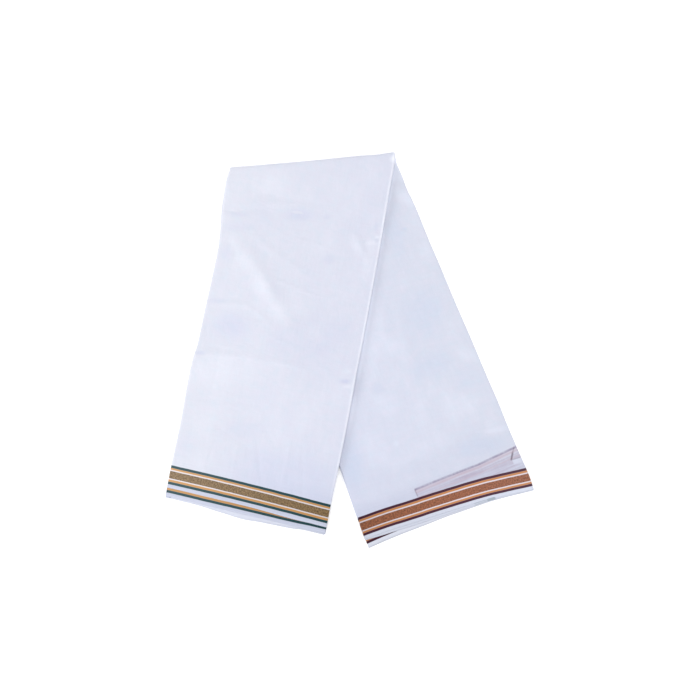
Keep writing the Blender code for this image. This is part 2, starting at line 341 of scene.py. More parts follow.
FRONT_LEAF = Leaf(
    side=Side.FRONT,
    turn=((-0.1847, 0.2754), (0.0690, 0.2975)),
    hem=((-0.2806, -0.2102), (-0.0348, -0.2717)),
    left_edge=Curve((
        (0, 0), (0.04, -1.7), (0.13, 1), (0.18, 4.1), (0.25, 6), (0.36, 5), (0.45, 3.8), (0.54, 3.1),
        (0.6, 0.1), (0.67, -0.5), (0.79, 0.7), (0.94, -0.5), (1, -0.3),
    )),
    right_edge=Curve((
        (0, 0), (0.02, 1.5), (0.05, 2), (0.08, 1.8), (0.2, 3), (0.27, 3.3), (0.43, 3.4), (0.53, 3.1),
        (0.58, 2.5), (0.7, 2.6), (0.78, 2), (0.84, 1.2), (0.95, -0.5), (1, -0.5),
    )),
    hem_line=Curve(((0, 0), (0.25, -1.2), (0.5, -1.6), (0.75, -1.2), (1, 0))),
    right_lift=Curve((
        (0, 0), (0.05, 1.2), (0.1, 0.4), (0.15, 1.6), (0.21, 0.3), (0.3, 1), (0.4, 0.2), (0.55, 0.3),
        (0.62, 1.4), (0.68, 0.3), (0.8, 1.1), (0.9, 0), (1, 0),
    )),
    turn_line=Curve((
        (0, 0.8), (0.1, 0.4), (0.2, 0), (0.5, 0.1), (0.6, 0.4), (0.75, 1.6), (0.84, 1.2), (0.9, 0.8),
        (0.96, 2.2), (1, 3.4),
    )),
)
BACK_LEAF = Leaf(
    side=Side.BACK,
    turn=((-0.1800, 0.2757), (0.0703, 0.2977)),
    hem=((0.0252, -0.2894), (0.2825, -0.2130)),
    left_edge=Curve(((0, 0), (0.8, -0.4), (0.9, -1.1), (1, -1.2))),
    right_edge=Curve((
        (0, 0), (0.02, -1.8), (0.06, -1.6), (0.09, -2.4), (0.15, -0.8), (0.25, -1.3), (0.31, -0.8),
        (0.44, -0.6), (0.55, 0.4), (0.67, 0.7), (0.73, 1.4), (0.79, 1), (0.86, 1.1), (0.96, 2.3), (1, 0.8),
    )),
    hem_line=Curve((
        (0, 0), (0.15, -2.3), (0.3, -2.9), (0.45, -4.1), (0.6, -4.5), (0.72, -4.5), (0.85, -2.8),
        (0.93, -1.3), (1, 0),
    )),
)
TURN_LINE = np.array(FRONT_LEAF.turn[1]) - np.array(FRONT_LEAF.turn[0])
TURN_OUTWARD = np.array((-TURN_LINE[1], TURN_LINE[0])) / np.linalg.norm(TURN_LINE)

# How far the sheets' hems lie past the leaf's own, and how much wider their plain margins are.
FRONT_TOP_HEM = Curve(((0, 0), (0.5, 0), (0.66, 0.7), (0.76, 1.1), (0.84, 0.8), (0.9, 0.2), (1, -0.3)))
FRONT_SECOND_HEM = Curve((
    (0, 13.1), (0.12, 13.2), (0.25, 13.5), (0.45, 13), (0.6, 12.5), (0.85, 11.3), (1, 9.8),
))
FRONT_INNER_HEM = Curve((
    (0, 15.6), (0.1, 15.8), (0.2, 16.4), (0.3, 18.2), (0.4, 19.9), (0.49, 21), (0.6, 18.9), (0.7, 17.5),
    (0.8, 15.7), (0.87, 13.1), (1, 11.8),
))
FRONT_TOP_MARGIN = Curve(((0, 0), (0.5, 0.1), (0.66, 0.9), (0.76, 1.5), (0.84, 1.4), (0.9, 0.9), (1, 0.9)))
FRONT_SECOND_MARGIN = Curve(((0, 0), (0.75, 0), (0.88, 1.1), (1, 1.4)))
FRONT_INNER_MARGIN = Curve(((0, 2.4), (1, 2.4)))
BACK_SECOND_HEM = Curve((
    (0, 1.6), (0.05, 2.5), (0.12, 3.7), (0.3, 4.2), (0.5, 4), (0.62, 3.2), (0.8, 1.8), (1, 1),
))
BACK_INNER_HEM = Curve((
    (0, 15), (0.08, 13.5), (0.14, 12.6), (0.26, 10.2), (0.38, 8.6), (0.5, 6.7), (0.65, 5.2), (0.8, 3.1),
    (1, 1.8),
))
BACK_INNER_MARGIN = Curve(((0, 0.7), (1, 1.2)))


# ---------------------------------------------------------------- sheets
def level(layer: float) -> float:
    """The height of a layer's middle surface over its leaf's underside, from 0, the top, to 7."""
    return LEAF - LAYER_INSET - layer * PITCH


def fold_radius(upper: int, lower: int) -> float:
    """The radius of a fold that joins two layers."""
    return (level(upper) - level(lower)) / 2


def pressed(angle: float, square: float) -> Pair:
    """Returns a point of a pressed fold's outline, outward and upward, for a fold of radius 1."""
    c, s = math.cos(angle), math.sin(angle)
    return abs(c) ** (2 / square), math.copysign(abs(s) ** (2 / square), s)


class Column(NamedTuple):
    """One column of a sheet, or, with arrays in its fields, all of them."""

    across: Numbers  # 0 at the leaf's left edge to 1 at its right edge
    offset: Numbers  # sideways from there
    height: Numbers  # over the leaf's underside
    layer: Numbers  # the layer whose hem it ends at
    shown: Numbers = 0.0  # 1 where the sheet's creases show
    loose: Numbers = 0.0  # how far it wanders sideways
    rim: Numbers = 0.0  # how much painted highlight it gets along a fold


@dataclass
class Columns:
    """A sheet's columns, gathered in order across the strip and round its folds."""

    left_inset: float
    made: list[Column] = field(default_factory=list)

    def together(self) -> Column:
        """Returns all the columns as one, with arrays in its fields."""
        return Column(*np.array(self.made, dtype=float).T)

    def run(self, layer: int, places: np.ndarray, shown: float = 0.0, loose_end: float = 0.0) -> "Columns":
        """Adds the flat columns of a layer.

        Args:
            layer: 0 for the top layer to 7 for the bottom one.
            places: Where the columns lie, from 0 to 1 across the leaf.
            shown: 1 where the sheet's creases show.
            loose_end: How far the layer's left end wanders.

        Returns:
            The same columns.
        """
        for a in places:
            inset = self.left_inset * (1 - a) - FOLD_INSET * a
            # a painted highlight along both folded edges
            rim = RIM_RIGHT * math.exp(-(((1 - a) * STRIP_WIDTH / RIM_WIDTH) ** 2))
            rim += RIM_LEFT * math.exp(-((a * STRIP_WIDTH / RIM_WIDTH) ** 2))
            loose = loose_end * max(0.0, 1 - a / LOOSE_SHARE)
            self.made.append(Column(a, inset, level(layer), layer, shown, loose, rim * shown))
        return self

    def fold(self, layer: int, steps: int) -> "Columns":
        """Adds the columns round a fold, which starts where the last column lies.

        Args:
            layer: The layer that the fold leads to.
            steps: How many columns.

        Returns:
            The same columns.
        """
        last = self.made[-1]
        right = last.across > 0.5
        middle, half = (level(last.layer) + level(layer)) / 2, (level(last.layer) - level(layer)) / 2
        upper, lower = sorted((last.layer, layer))
        for step in range(1, steps):
            angle = math.copysign(math.pi / 2, half) * (1 - 2 * step / steps)
            sideways, upward = pressed(angle, FOLD_SQUARE)
            lowered = float(smooth(-2 * angle / math.pi))
            outward = abs(half) * sideways
            shown = max(0.0, upward) if upper == 0 else 0.0
            # the fold's face that shows from above carries the painted highlight too
            self.made.append(
                Column(
                    across=1.0 if right else 0.0,
                    offset=outward - FOLD_INSET if right else self.left_inset - outward,
                    height=middle + abs(half) * upward,
                    layer=upper * (1 - lowered) + lower * lowered,
                    shown=shown,
                    rim=(RIM_RIGHT if right else RIM_LEFT) if shown else 0.0,
                )
            )
        return self


class Grid(NamedTuple):
    """Rows of points at a leaf's underside, and what goes with each point."""

    base: np.ndarray
    up: np.ndarray  # the normals
    right: np.ndarray  # the unit vectors across the strip
    run: np.ndarray  # the distances from the selvedge

    def with_row(self, *row: np.ndarray) -> "Grid":
        """Returns the grid with one more row: its points, normals, sideways vectors and distances."""
        return Grid(*(np.concatenate((old, new[None])) for old, new in zip(self, row)))


class Weaving(NamedTuple):
    """What a sheet's mesh carries besides its points: cloth coordinates in metres, and its tone, with painted
    light and shade among it.
    """

    points: np.ndarray
    cloth: np.ndarray
    tone: np.ndarray


@dataclass
class SheetMaker:
    """Lays one sheet of a leaf: flat rows from the hem to the turn, then rows round the turn."""

    leaf: Leaf
    hems: Sequence[Curve]
    rows: np.ndarray
    turn_rows: int
    seed: int
    margin: Curve = Curve()
    creases: Sequence[Crease] = ()
    patches: Sequence[Patch] = ()
    # how much painted highlight the sheet gets along its folds and round the turn
    rims: float = 0.0

    def cut(self, columns: Columns) -> Pair:
        """The size of the cloth that a sheet is made of, laid flat.

        Args:
            columns: The sheet's columns.

        Returns:
            Its width across the strip and its length from the selvedge.
        """
        column = columns.together()
        from_left = column.across * STRIP_WIDTH + column.offset
        width = float(np.hypot(np.diff(from_left), np.diff(column.height)).sum())
        length = float(self.leaf.length(0.5)) + float(np.mean(self.hem_out(column)))
        if self.turn_rows:
            return width, length + math.pi * (TURN_RADIUS - LEAF + float(np.mean(column.height))) + TUCK
        return width, length - BACK_START

    def hem_out(self, column: Column) -> np.ndarray:
        """How far each column's hem lies past the top sheet's hem.

        Args:
            column: The sheet's columns, together.

        Returns:
            Lengths, with a column between two layers ending between their hems.
        """
        hems = np.array([hem.at(column.across) for hem in self.hems])
        low = np.floor(column.layer).astype(int)
        here, after = (hems[k, np.arange(len(low))] for k in (low, np.minimum(low + 1, LAYERS - 1)))
        return here + (after - here) * (column.layer - low)

    def lay(self, columns: Columns) -> Weaving:
        """Works out the sheet's points.

        Args:
            columns: The columns, in order across the cloth.

        Returns:
            The points with their cloth coordinates and tone.
        """
        column = columns.together()
        grid = self.round_the_turn(self.flat_rows(column), column)
        x, y, run = grid.base[..., 0] / MM, grid.base[..., 1] / MM, grid.run
        wander = column.loose * uneven(run, grid_like(column.across, run), LOOSE_SIZE, self.seed + 11)
        points = grid.base + grid.right * (column.offset + wander)[..., None]
        breath = BREATH * uneven(run, grid_like(column.layer, run), BREATH_SIZE, self.seed + 5)
        height = column.height + breath
        shown = column.shown * np.clip(grid.up[..., 2], 0, 1)
        for crease in self.creases:
            height = height + shown * crease.raised(x, y) * MM
        from_left = grid_like(column.across * STRIP_WIDTH + column.offset, run)
        cloth = np.stack((from_left, run - self.margin.at(column.across)), axis=-1)
        # the tone carries where the sheet clings, painted shade and painted light; the rims add painted
        # highlights along the folds and round the turn
        tone = sum((shown * patch.at(x, y) for patch in self.patches), np.zeros_like(run))
        ragged = 1 - RAGGED + RAGGED * uneven(run, run * 0, RAGGED_SIZE, self.seed)
        painted_turn_light = np.clip(1 - grid.up[..., 2], 0, 1) * TURN_RIM * (1 - 0.5 * column.across)
        tone = tone + self.rims * (column.rim * ragged + painted_turn_light)
        return Weaving(points + grid.up * height[..., None], cloth, tone)

    def flat_rows(self, column: Column) -> Grid:
        """The rows from the hem to the turn.

        Args:
            column: The sheet's columns, together.

        Returns:
            The rows.
        """
        length = self.leaf.length(column.across)
        last = 1 + self.hem_out(column) / length
        t = self.rows[:, None]
        along = last[None, :] * (1 - t)
        if self.leaf.side is Side.BACK:
            along = along + t * BACK_START / length
        across = grid_like(column.across, along)
        plan = self.leaf.plan(across, along)
        height = self.leaf.underside(plan, across, along)
        base = np.concatenate((plan, height[..., None]), axis=-1)
        up, right = np.zeros_like(base), np.zeros_like(base)
        up[..., 2] = 1.0
        right[..., :2] = self.leaf.rightward
        return Grid(base, up, right, (last - along) * length)

    def round_the_turn(self, grid: Grid, column: Column) -> Grid:
        """Adds the rows round the turn, and one more that runs in under the back leaf.

        Args:
            grid: The flat rows.
            column: The sheet's columns, together.

        Returns:
            The flat rows with the turn's rows.
        """
        across, inner_radius = column.across, TURN_RADIUS - LEAF
        squares = TURN_SQUARE[0] + (TURN_SQUARE[1] - TURN_SQUARE[0]) * across
        for step in range(1, self.turn_rows + 1):
            share = step / self.turn_rows
            outline = np.array([pressed(math.pi * (0.5 - share), square) for square in squares])
            normal = np.concatenate((outline[:, :1] * TURN_OUTWARD, outline[:, 1:]), axis=-1)
            middle = FRONT_LEAF.turn_point(across) * (1 - share) + BACK_LEAF.turn_point(across) * share
            points = np.concatenate((middle, np.full((len(across), 1), TURN_RADIUS)), axis=-1)
            sideways = FRONT_LEAF.rightward * (1 - share) + BACK_LEAF.rightward * share
            sideways = np.array((*(sideways / np.linalg.norm(sideways)), 0.0))
            arc = (inner_radius + column.height) * math.pi / self.turn_rows
            points, sideways = points + normal * inner_radius, np.broadcast_to(sideways, points.shape)
            grid = grid.with_row(points, normal, sideways, grid.run[-1] + arc)
        if self.turn_rows:
            inward = np.array((*(-TURN_OUTWARD * TUCK), 0.0))
            grid = grid.with_row(grid.base[-1] + inward, grid.up[-1], grid.right[-1], grid.run[-1] + TUCK)
        return grid


def grid_like(row: np.ndarray, grid: np.ndarray) -> np.ndarray:
    """Repeats one row's values down a grid."""
    return np.broadcast_to(row, grid.shape)


def in_scene(name: str, data: Any) -> bpy.types.Object:
    """Makes an object and links it into the scene.

    Args:
        name: The object's name.
        data: A mesh, a camera or a light.

    Returns:
        The object.
    """
    made = bpy.data.objects.new(name, data)
    bpy.context.scene.collection.objects.link(made)
    return made


def shell(name: str, sheets: Sequence[Weaving]) -> bpy.types.Object:
    """Makes one object of closed thin shells, one round each sheet's middle surface.

    Args:
        name: The object's name.
        sheets: The sheets.

    Returns:
        The object, linked into the scene.
    """
    gathered, first = [], 0
    for sheet in sheets:
        p = sheet.points
        normal = np.cross(np.gradient(p, axis=1), np.gradient(p, axis=0))
        normal /= np.linalg.norm(normal, axis=-1, keepdims=True)
        half = normal * CLOTH_THICKNESS / 2
        rows, cols = p.shape[:2]
        index = np.arange(rows * cols).reshape(rows, cols)
        a, b, c, d = index[:-1, :-1], index[:-1, 1:], index[1:, 1:], index[1:, :-1]
        top = np.stack((a, b, c, d), axis=-1).reshape(-1, 4)
        under = top[:, ::-1] + rows * cols
        loop = np.concatenate((index[0], index[1:, -1], index[-1, -2::-1], index[-2:0:-1, 0]))
        following = np.roll(loop, -1)
        rim = np.stack((following, loop, loop + rows * cols, following + rows * cols), axis=-1)
        both = np.concatenate((p + half, p - half)).reshape(-1, 3)
        cloth, tone = np.tile(sheet.cloth.reshape(-1, 2), (2, 1)), np.tile(sheet.tone.ravel(), 2)
        gathered.append((both, np.concatenate((top, under, rim)) + first, cloth, tone))
        first += 2 * rows * cols
    points, faces, cloth, tone = (np.concatenate(arrays) for arrays in zip(*gathered))
    mesh = bpy.data.meshes.new(name)
    mesh.from_pydata(points.tolist(), [], faces.tolist())
    uv = mesh.uv_layers.new(name=CLOTH_MAP)
    uv.data.foreach_set("uv", cloth[faces.ravel()].astype(np.float32).ravel())
    mesh.attributes.new(TONE, "FLOAT", "POINT").data.foreach_set("value", tone.astype(np.float32))
    mesh.shade_smooth()
    mesh.validate()
    return in_scene(name, mesh)


class CutPiece(NamedTuple):
    """A piece of cloth, and the width and length that its sheets were cut to."""

    piece: bpy.types.Object
    flat: Pair


def cut_piece(name: str, maker: SheetMaker, sheets: Sequence[Columns]) -> CutPiece:
    """Makes one piece of one or more sheets of a leaf.

    Args:
        name: The piece's name.
        maker: What lays the sheets.
        sheets: Each sheet's columns.

    Returns:
        The piece, with its sheets' widths added up and their mean length.
    """
    cuts = [maker.cut(columns) for columns in sheets]
    width = sum(cut[0] for cut in cuts)
    length = sum(cut[0] * cut[1] for cut in cuts) / width
    return CutPiece(shell(name, [maker.lay(columns) for columns in sheets]), (width, length))


# ---------------------------------------------------------------- shader maths
@dataclass(frozen=True)
class Value:
    """A socket of a node tree that Python's operators work on."""

    tree: "Tree"
    socket: Any

    def _math(self, operation: str, *others: "Value | float") -> "Value":
        """Adds a Math node on this value and others."""
        return self.tree.node("ShaderNodeMath", {"operation": operation}, (self, *others))

    def __add__(self, other: "Value | float") -> "Value":
        """Adds."""
        return self._math("ADD", other)

    __radd__ = __add__

    def __mul__(self, other: "Value | float") -> "Value":
        """Multiplies."""
        return self._math("MULTIPLY", other)

    __rmul__ = __mul__

    def __sub__(self, other: "Value | float") -> "Value":
        """Subtracts."""
        return self._math("SUBTRACT", other)

    def __rsub__(self, other: float) -> "Value":
        """Subtracts this value from a number."""
        return self * -1.0 + other

    def __truediv__(self, other: float) -> "Value":
        """Divides by a number."""
        return self * (1.0 / other)

    def __abs__(self) -> "Value":
        """Takes the absolute value."""
        return self._math("ABSOLUTE")

    def capped(self) -> "Value":
        """Keeps the value from 0 to 1."""
        return self.tree.node("ShaderNodeClamp", {}, {"Value": self})

    def at_least(self, least: float) -> "Value":
        """Keeps the value from falling below a number."""
        return self._math("MAXIMUM", least)

    def ripples(self, length: float) -> "Value":
        """Returns a sine wave over this distance, for a wave's length in millimetres."""
        return (self * (2 * math.pi / (length * MM)))._math("SINE")

    def step(self, low: float, high: float) -> "Value":
        """Returns 0 below low, 1 above high and an S between, for a distance; both are in millimetres."""
        inputs = {"Value": self, "From Min": low * MM, "From Max": high * MM, "To Min": 0.0, "To Max": 1.0}
        return self.tree.node("ShaderNodeMapRange", {"interpolation_type": "SMOOTHSTEP"}, inputs)

    def between(self, low: float, high: float, soft: float) -> "Value":
        """Returns 1 between low and high and 0 outside, with soft edges, all in millimetres."""
        return self.step(low - soft, low + soft) * (1 - self.step(high - soft, high + soft))


class Grain(Enum):
    """Kinds of unevenness: bumps in each metre along the two coordinates, and the noise's detail."""

    WANDER = (60.0, 25.0, 2.0)  # how the stripes wander
    THREADS = (1400.0, 60.0, 1.0)
    SLUBS = (260.0, 34.0, 2.0)
    CLOUDS = (26.0, 15.0, 3.0)
    HUE = (75.0, 95.0, 3.0)
    LINES = (14.0, 700.0, 1.0)  # pale lines along the selvedge
    SPECKLE = (520.0, 380.0, 2.0)  # the broad band's knots
    CRUMPLE = (90.0, 64.0, 3.0)
    STREAKS = (14.0, 340.0, 2.0)  # in a border that is seen through the top sheet


class Tree:
    """A material's node tree, and the one way to add a node to it."""

    def __init__(self, name: str) -> None:
        """Makes the material with its Principled shader.

        Args:
            name: The material's name.
        """
        self.material = bpy.data.materials.new(name)
        self.material.use_nodes = True
        self.nodes = self.material.node_tree.nodes
        self.links = self.material.node_tree.links
        self.shader = self.nodes["Principled BSDF"]

    def node(
        self,
        kind: str,
        settings: dict[str, Any],
        inputs: dict[str | int, Any] | tuple[Any, ...],
        output: str | int = 0,
    ) -> Value:
        """Adds a node.

        Args:
            kind: The node's type.
            settings: Its settings, which are set first.
            inputs: Values or links, by socket name or in socket order.
            output: Which output to return.

        Returns:
            The output.
        """
        made = self.nodes.new(kind)
        for key, value in settings.items():
            setattr(made, key, value)
        named = inputs.items() if isinstance(inputs, dict) else enumerate(inputs)
        for key, value in named:
            self.feed(made.inputs[key], value)
        return Value(self, made.outputs[output])

    def feed(self, socket: Any, value: Any) -> None:
        """Links a value to a socket, or sets it.

        Args:
            socket: An input.
            value: A Value to link, or a constant.
        """
        if isinstance(value, Value):
            self.links.new(value.socket, socket)
        else:
            socket.default_value = value

    def finish(self, inputs: dict[str, Any]) -> bpy.types.Material:
        """Feeds the shader.

        Args:
            inputs: Values or constants, by socket name.

        Returns:
            The finished material.
        """
        for name, value in inputs.items():
            self.feed(self.shader.inputs[name], value)
        return self.material

    def mix(self, factor: Value | float, first: Value | Colour, second: Value | Colour) -> Value:
        """Mixes two colours, with a factor from 0 for the first to 1 for the second."""
        colours = (colour if isinstance(colour, Value) else (*colour, 1.0) for colour in (first, second))
        return self.node("ShaderNodeMix", {"data_type": "RGBA"}, dict(zip((0, 6, 7), (factor, *colours))), 2)

    def scaled(self, colour: Value, factor: Value) -> Value:
        """Multiplies a colour by a number, as Vector Math."""
        return self.node("ShaderNodeVectorMath", {"operation": "SCALE"}, {0: colour, "Scale": factor})

    def noise(self, place: Value, grain: Grain, turned: bool = False) -> Value:
        """Smooth noise about 0, from -1 to 1.

        Args:
            place: Cloth coordinates.
            grain: What kind.
            turned: Whether its two sizes change places.

        Returns:
            The noise.
        """
        first, second, detail = grain.value
        sizes = (second, first, 1.0) if turned else (first, second, 1.0)
        moved = self.node("ShaderNodeVectorMath", {"operation": "MULTIPLY"}, {0: place, 1: sizes})
        inputs = {"Vector": moved, "Scale": 1.0, "Detail": detail}
        raw = self.node("ShaderNodeTexNoise", {"noise_dimensions": "2D"}, inputs)
        return (raw - 0.5) * 2.0


class ClothTree(Tree):
    """The tree of a cotton material: the cloth's coordinates, and the unevenness that its finish shares."""

    def __init__(self, name: str) -> None:
        """Adds the shared values.

        Args:
            name: The material's name.
        """
        super().__init__(name)
        self.place = self.node("ShaderNodeUVMap", {"uv_map": CLOTH_MAP}, {})
        self.across = self.node("ShaderNodeSeparateXYZ", {}, {0: self.place}, 0)
        selvedge = self.node("ShaderNodeSeparateXYZ", {}, {0: self.place}, 1)
        self.inward = selvedge + self.noise(self.place, Grain.WANDER) * (0.25 * MM)
        self.threads = self.crossed(Grain.THREADS)
        self.slubs = self.crossed(Grain.SLUBS)
        self.lines = self.noise(self.place, Grain.LINES)

    def crossed(self, grain: Grain) -> Value:
        """Returns noise that runs both ways of the cloth."""
        return self.noise(self.place, grain) + self.noise(self.place, grain, turned=True)


# ---------------------------------------------------------------- finishes
LIGHT = 1.30  # how bright a white surface looks in the scene's light


def linear(red: int, green: int, blue: int) -> Colour:
    """A colour in linear light from screen values, 0 to 255, as they are seen in the scene's light."""
    shares = (value / 255 for value in (red, green, blue))
    return tuple((c / 12.92 if c <= 0.04045 else ((c + 0.055) / 1.055) ** 2.4) / LIGHT for c in shares)


# the painted light that pale patches, the fold rims and the turn mix towards, on the front and back leaves
WHITEST = (0.80, 0.81, 0.88)
WHITEST_BACK = (0.775, 0.81, 0.92)
LAVENDER = linear(236, 226, 242)
PALE_CYAN = linear(208, 229, 243)
GREENISH = linear(120, 144, 150)
SEEN_BAND = linear(177, 160, 182)
SEEN_LINE = linear(140, 130, 158)
SEEN_YARNS = (  # two edges under the dark line and their softness in millimetres, strength, colour
    (1.6, 6.2, 0.6, 0.38, linear(216, 196, 206)),
    (12.6, 14.2, 0.6, 0.35, linear(216, 196, 206)),
    (6.4, 7.4, 0.5, 0.20, linear(226, 220, 230)),
)
MARGIN_EDGE = (5.3, 5.9)  # millimetres from the selvedge, where the plain margin ends
SELVEDGE = (1.5, 2.5)  # and where the painted highlight along the selvedge ends
STRIPE_SOFT = 0.35  # millimetres
BAND_RIM = 0.9  # millimetres of the broad band that are darker along its edges
RIBS = 1.3  # millimetres from one of the band's ribs to the next
WARP, WEFT = 0.42, 0.46  # millimetres from one thread to the next
ROUGHNESS = 0.82


@dataclass(frozen=True)
class BorderYarns:
    """One border's yarns, and the edges of its stripes in millimetres from the selvedge."""

    line: Colour
    orange: Colour
    pale: Colour
    band: Colour
    edges: tuple[float, ...]

    def stripes(self) -> list[tuple[float, float, Colour]]:
        """Returns the border's stripes, from the selvedge inwards, as two edges and a colour."""
        yarns = (self.line, self.orange, self.pale, self.band, self.pale, self.orange, self.line)
        return list(zip(self.edges, self.edges[1:], yarns))


class Border(Enum):
    """The two selvedge borders of the cloth."""

    GREEN = BorderYarns(
        line=linear(22, 68, 72),
        orange=linear(205, 151, 88),
        pale=linear(231, 222, 224),
        band=linear(133, 107, 71),
        edges=(5.45, 9.65, 13.0, 14.75, 26.15, 28.05, 30.8, 34.85),
    )
    MAROON = BorderYarns(
        line=linear(69, 21, 42),
        orange=linear(198, 132, 77),
        pale=linear(227, 214, 219),
        band=linear(147, 89, 58),
        edges=(5.5, 9.5, 12.35, 14.2, 26.0, 28.0, 31.15, 35.15),
    )


class Stroke(NamedTuple):
    """A thin line on the cloth, between two places in cloth coordinates, in millimetres."""

    start: Pair
    end: Pair
    width: float
    strength: float

    def mask(self, tree: ClothTree) -> Value:
        """The stroke's strength over the cloth.

        Args:
            tree: The material's tree.

        Returns:
            The strength, 0 away from the stroke.
        """
        du, dv = self.end[0] - self.start[0], self.end[1] - self.start[1]
        run = math.hypot(du, dv)
        u, v = tree.across - self.start[0] * MM, tree.inward - self.start[1] * MM
        line = 1 - abs(u * (dv / run) - v * (du / run)).step(self.width * 0.2, self.width * 0.8)
        return line * (u * (du / run) + v * (dv / run)).between(0.0, run, self.width) * self.strength


@dataclass(frozen=True)
class Ghost:
    """A turned-in corner's border, seen faintly through the top sheet above the border.

    Its dark line leaves the border at the left end, rises across the cloth and steepens near the corner.
    Lengths are in millimetres.
    """

    left: float = 90.3
    start: float = 40.4
    rise: float = 0.087
    bend_at: float = 187
    bend: float = 0.14
    low_start: float = 21.6
    low_rise: float = 0.10
    corner: Pair = (236.0, 52.8)
    dark: tuple[Stroke, ...] = (
        Stroke((246.3, 71.3), (240.6, 62.4), 2.0, 0.30),
        Stroke((241.2, 63.2), (234.8, 52.0), 2.4, 0.60),
        Stroke((235.5, 52.2), (248.5, 53.4), 1.8, 0.30),
        Stroke((90.6, 48.5), (91.0, 37.0), 1.8, 0.30),
    )
    green: tuple[Stroke, ...] = (
        Stroke((163, 0.3), (181, 0.9), 1.6, 0.30),
        Stroke((182, 0.9), (194, 1.1), 1.8, 0.60),
    )

    def seen_through(self, tree: ClothTree, colour: Value) -> Value:
        """Lays the faint border over the cloth's colour.

        Args:
            tree: The material's tree.
            colour: The cloth's colour.

        Returns:
            The colour with the faint border.
        """
        across, inward, weave = tree.across, tree.inward, tree.slubs
        bent = (across - self.bend_at * MM).at_least(0.0)
        under = across * self.rise + bent * self.bend + self.start * MM - inward
        low = inward - (across * self.low_rise + self.low_start * MM)
        beyond = across.step(self.corner[0] - 0.8, self.corner[0] + 0.8)
        below = 1 - inward.step(self.corner[1] - 0.8, self.corner[1] + 0.8)
        here = across.step(self.left - 0.6, self.left + 0.6) * (1 - beyond * below) * low.step(-1.0, 1.6)
        along = tree.node("ShaderNodeCombineXYZ", {}, {0: across, 1: under})
        streaks = tree.noise(along, Grain.STREAKS) * 1.6 + weave * 0.4
        band = under.step(-0.6, 0.6) * here
        colour = tree.mix((band * (0.39 + streaks * 0.34)).capped(), colour, SEEN_BAND)
        lowest = inward.between(33, 44, 1.5) * across.step(130, 200) * (1 - here)
        colour = tree.mix((lowest * (0.26 + streaks * 0.30)).capped(), colour, SEEN_BAND)
        for low_side, high_side, soft, strength, yarn in SEEN_YARNS:
            colour = tree.mix(under.between(low_side, high_side, soft) * here * strength, colour, yarn)
        line = under.between(-1.7, 1.6, 1.1) * here * (0.50 + across.step(150, 240) * 0.10 + weave * 0.30)
        colour = tree.mix(line, colour, SEEN_LINE)
        return self.drawn(tree, colour, self.dark, Border.MAROON.value.line)

    def drawn(self, tree: ClothTree, colour: Value, strokes: Sequence[Stroke], ink: Colour) -> Value:
        """Draws strokes over the cloth's colour.

        Args:
            tree: The material's tree.
            colour: The cloth's colour.
            strokes: The strokes.
            ink: Their colour.

        Returns:
            The colour with the strokes.
        """
        for stroke in strokes:
            colour = tree.mix(stroke.mask(tree), colour, ink)
        return colour


